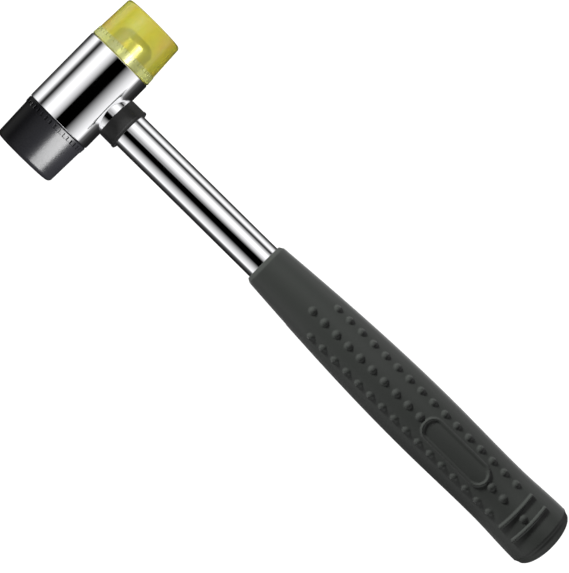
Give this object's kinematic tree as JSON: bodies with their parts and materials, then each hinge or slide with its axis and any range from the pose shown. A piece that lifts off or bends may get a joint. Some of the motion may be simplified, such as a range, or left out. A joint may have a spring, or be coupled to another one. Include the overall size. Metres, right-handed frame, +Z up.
{
  "type": "two-way soft mallet",
  "caption": "Small two-way mallet: chromed barrel head with a screwed-in translucent yellow face and a black rubber face, tube handle, studded rubber grip.",
  "frame": {"origin": "centre of the footprint of the mallet lying on its side, on the surface it rests on", "axes": "+X along the handle from head to butt, +Y along the barrel from the black face to the yellow face, +Z up"},
  "size_m": [0.2262, 0.062, 0.025],
  "materials": {
    "chrome_plate": "bright chrome plating on polished steel",
    "bare_steel": "turned and zinc-dulled steel",
    "collar_plastic": "matt moulded black plastic",
    "grip_rubber": "matt moulded black rubber",
    "yellow_face_plastic": "translucent yellow plastic, polished mould",
    "black_face_rubber": "hard black rubber with a soft gloss"
  },
  "bodies": {
    "handle": {"head_barrel": "chrome_plate", "neck_bush": "chrome_plate", "handle_tube": "chrome_plate", "tube_plug": "bare_steel", "collar": "collar_plastic", "grip": "grip_rubber"},
    "yellow_stud": {"yellow_stud": "bare_steel"},
    "yellow_face": {"yellow_face": "yellow_face_plastic"},
    "black_stud": {"black_stud": "bare_steel"},
    "black_face": {"black_face": "black_face_rubber"}
  },
  "joints": [
    {"name": "yellow_face_travel", "type": "slide", "parent": "handle", "child": "yellow_stud", "axis": [0, 1, 0], "range_m": [0, 0.006]},
    {"name": "yellow_face_turn", "type": "hinge", "parent": "yellow_stud", "child": "yellow_face", "pos_m": [-0.10057, 0, 0.0125], "axis": [0, 1, 0], "range_deg": [0, 1440]},
    {"name": "black_face_travel", "type": "slide", "parent": "handle", "child": "black_stud", "axis": [0, -1, 0], "range_m": [0, 0.006]},
    {"name": "black_face_turn", "type": "hinge", "parent": "black_stud", "child": "black_face", "pos_m": [-0.10057, 0, 0.0125], "axis": [0, -1, 0], "range_deg": [0, 1440]}
  ],
  "couplings": [
    {"joint": "yellow_face_travel", "follows": "yellow_face_turn", "m_per_rad": 0.00023873},
    {"joint": "black_face_travel", "follows": "black_face_turn", "m_per_rad": 0.00023873}
  ]
}
